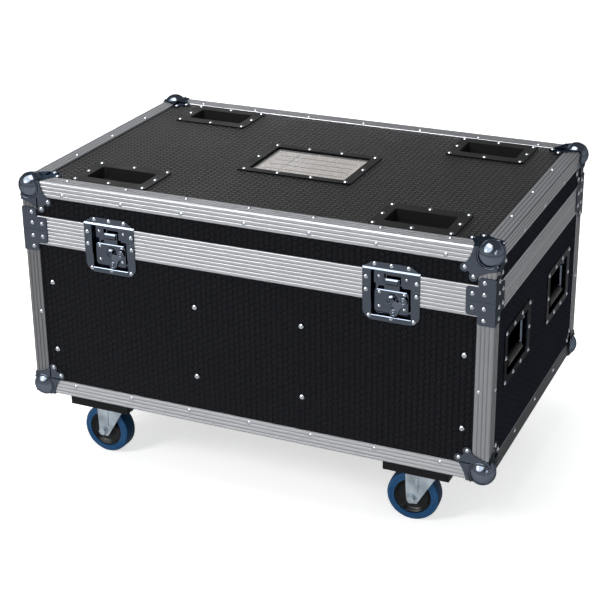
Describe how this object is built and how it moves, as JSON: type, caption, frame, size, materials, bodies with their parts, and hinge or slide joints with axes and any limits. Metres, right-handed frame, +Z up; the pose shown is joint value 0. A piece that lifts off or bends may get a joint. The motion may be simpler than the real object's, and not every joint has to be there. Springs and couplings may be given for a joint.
{
  "type": "lighting flight case",
  "caption": "Road case for stage lights: black panels in ribbed aluminium edging, hinged lid with wheel pockets, butterfly latches, sprung side handles, swivel casters.",
  "frame": {"origin": "on the ground, under the middle of the case", "axes": "+Z up, front with the latches towards -Y, +X to the right along the long side"},
  "size_m": [0.9408, 0.6088, 0.5965],
  "materials": {
    "black_laminate": "black phenolic film on plywood, embossed with small hexagons, semi-gloss",
    "aluminium_profile": "bright anodised extrusion with fine ribs along its length",
    "bright_zinc": "pressed steel, bright zinc plated, mirror-like",
    "dull_zinc": "pressed steel, satin zinc",
    "caster_zinc": "thick satin zinc plating",
    "board_black": "plywood with black paint",
    "frame_dark": "steel, dark grey satin",
    "clear_plastic": "clear sheet",
    "card": "printed card, plain ruled lines, no words",
    "foam_grey": "soft closed-cell foam, matt",
    "birch_board": "plywood with dark film, raw edge",
    "grip_black": "soft black sleeve",
    "blue_tyre": "solid blue rubber",
    "hub_black": "black nylon"
  },
  "bodies": {
    "base": {"base_front_panel": "black_laminate", "base_back_panel": "black_laminate", "base_end_panels": "black_laminate", "base_floor_panel": "black_laminate", "base_edge_profiles": "aluminium_profile", "base_tongue_profiles": "aluminium_profile", "base_ball_corners": "bright_zinc", "base_corner_braces": "bright_zinc", "base_rivets": "bright_zinc", "caster_boards": "board_black", "caster_plates": "caster_zinc", "latch_base_dishes": "bright_zinc", "latch_cover_plates": "bright_zinc", "handle_dishes": "bright_zinc", "handle_springs": "dull_zinc", "hinge_base_leaves": "dull_zinc", "hinge_pins": "dull_zinc", "base_foam": "foam_grey", "dividers": "birch_board"},
    "lid": {"lid_top_panel": "black_laminate", "lid_long_panels": "black_laminate", "lid_end_panels": "black_laminate", "lid_edge_profiles": "aluminium_profile", "lid_groove_profiles": "aluminium_profile", "lid_ball_corners": "bright_zinc", "lid_corner_braces": "bright_zinc", "lid_rivets": "bright_zinc", "wheel_cups": "frame_dark", "label_frame": "frame_dark", "label_window": "clear_plastic", "label_card": "card", "latch_lid_dishes": "bright_zinc", "hinge_lid_leaves": "dull_zinc", "lid_foam": "foam_grey"},
    "latch_hook_left": {"latch_hook_left": "bright_zinc"},
    "latch_cam_left": {"latch_cam_left": "bright_zinc"},
    "latch_wing_left": {"latch_wing_left": "bright_zinc"},
    "latch_hook_right": {"latch_hook_right": "bright_zinc"},
    "latch_cam_right": {"latch_cam_right": "bright_zinc"},
    "latch_wing_right": {"latch_wing_right": "bright_zinc"},
    "handle_front_left": {"handle_bail_front_left": "dull_zinc", "handle_grip_front_left": "grip_black"},
    "handle_back_left": {"handle_bail_back_left": "dull_zinc", "handle_grip_back_left": "grip_black"},
    "handle_front_right": {"handle_bail_front_right": "dull_zinc", "handle_grip_front_right": "grip_black"},
    "handle_back_right": {"handle_bail_back_right": "dull_zinc", "handle_grip_back_right": "grip_black"},
    "caster_front_left": {"caster_fork_front_left": "caster_zinc"},
    "wheel_front_left": {"wheel_hub_front_left": "hub_black", "wheel_tyre_front_left": "blue_tyre"},
    "caster_back_left": {"caster_fork_back_left": "caster_zinc"},
    "wheel_back_left": {"wheel_hub_back_left": "hub_black", "wheel_tyre_back_left": "blue_tyre"},
    "caster_front_right": {"caster_fork_front_right": "caster_zinc"},
    "wheel_front_right": {"wheel_hub_front_right": "hub_black", "wheel_tyre_front_right": "blue_tyre"},
    "caster_back_right": {"caster_fork_back_right": "caster_zinc"},
    "wheel_back_right": {"wheel_hub_back_right": "hub_black", "wheel_tyre_back_right": "blue_tyre"}
  },
  "joints": [
    {"name": "lid_hinge", "type": "hinge", "parent": "base", "child": "lid", "pos_m": [0, 0.2988, 0.489], "axis": [-1, 0, 0], "range_deg": [0, 100]},
    {"name": "latch_left_twist", "type": "hinge", "parent": "base", "child": "latch_cam_left", "pos_m": [-0.276, -0.294, 0.4645], "axis": [0, -1, 0], "range_deg": [0, 180]},
    {"name": "latch_left_draw", "type": "slide", "parent": "base", "child": "latch_hook_left", "axis": [0, 0, 1], "range_m": [0, 0.008]},
    {"name": "latch_left_wing_fold", "type": "hinge", "parent": "latch_cam_left", "child": "latch_wing_left", "pos_m": [-0.27398, -0.2956, 0.46303], "axis": [-0.5878, 0, -0.809], "range_deg": [0, 90]},
    {"name": "latch_right_twist", "type": "hinge", "parent": "base", "child": "latch_cam_right", "pos_m": [0.276, -0.294, 0.4645], "axis": [0, -1, 0], "range_deg": [0, 180]},
    {"name": "latch_right_draw", "type": "slide", "parent": "base", "child": "latch_hook_right", "axis": [0, 0, 1], "range_m": [0, 0.008]},
    {"name": "latch_right_wing_fold", "type": "hinge", "parent": "latch_cam_right", "child": "latch_wing_right", "pos_m": [0.27802, -0.2956, 0.46303], "axis": [-0.5878, 0, -0.809], "range_deg": [0, 90]},
    {"name": "handle_front_left_swing", "type": "hinge", "parent": "base", "child": "handle_front_left", "pos_m": [-0.45, -0.1385, 0.3763], "axis": [0, 1, 0], "range_deg": [0, 90], "stiffness_Nm_per_rad": 0.3},
    {"name": "handle_back_left_swing", "type": "hinge", "parent": "base", "child": "handle_back_left", "pos_m": [-0.45, 0.1385, 0.3763], "axis": [0, 1, 0], "range_deg": [0, 90], "stiffness_Nm_per_rad": 0.3},
    {"name": "handle_front_right_swing", "type": "hinge", "parent": "base", "child": "handle_front_right", "pos_m": [0.45, -0.1385, 0.3763], "axis": [0, -1, 0], "range_deg": [0, 90], "stiffness_Nm_per_rad": 0.3},
    {"name": "handle_back_right_swing", "type": "hinge", "parent": "base", "child": "handle_back_right", "pos_m": [0.45, 0.1385, 0.3763], "axis": [0, -1, 0], "range_deg": [0, 90], "stiffness_Nm_per_rad": 0.3},
    {"name": "caster_front_left_swivel", "type": "hinge", "parent": "base", "child": "caster_front_left", "pos_m": [-0.325, -0.214, 0.12], "axis": [0, 0, 1], "continuous": true},
    {"name": "wheel_front_left_spin", "type": "hinge", "parent": "caster_front_left", "child": "wheel_front_left", "pos_m": [-0.35096, -0.21264, 0.05], "axis": [0.0523, 0.9986, 0], "continuous": true},
    {"name": "caster_back_left_swivel", "type": "hinge", "parent": "base", "child": "caster_back_left", "pos_m": [-0.325, 0.214, 0.12], "axis": [0, 0, 1], "continuous": true},
    {"name": "wheel_back_left_spin", "type": "hinge", "parent": "caster_back_left", "child": "wheel_back_left", "pos_m": [-0.3509, 0.21627, 0.05], "axis": [0.0872, 0.9962, 0], "continuous": true},
    {"name": "caster_front_right_swivel", "type": "hinge", "parent": "base", "child": "caster_front_right", "pos_m": [0.325, -0.214, 0.12], "axis": [0, 0, 1], "continuous": true},
    {"name": "wheel_front_right_spin", "type": "hinge", "parent": "caster_front_right", "child": "wheel_front_right", "pos_m": [0.29906, -0.21581, 0.05], "axis": [-0.0698, 0.9976, 0], "continuous": true},
    {"name": "caster_back_right_swivel", "type": "hinge", "parent": "base", "child": "caster_back_right", "pos_m": [0.325, 0.214, 0.12], "axis": [0, 0, 1], "continuous": true},
    {"name": "wheel_back_right_spin", "type": "hinge", "parent": "caster_back_right", "child": "wheel_back_right", "pos_m": [0.29904, 0.21264, 0.05], "axis": [-0.0523, 0.9986, 0], "continuous": true}
  ],
  "couplings": [
    {"joint": "latch_left_twist", "follows": "latch_left_draw", "rad_per_m": 392.69},
    {"joint": "latch_right_twist", "follows": "latch_right_draw", "rad_per_m": 392.69}
  ]
}
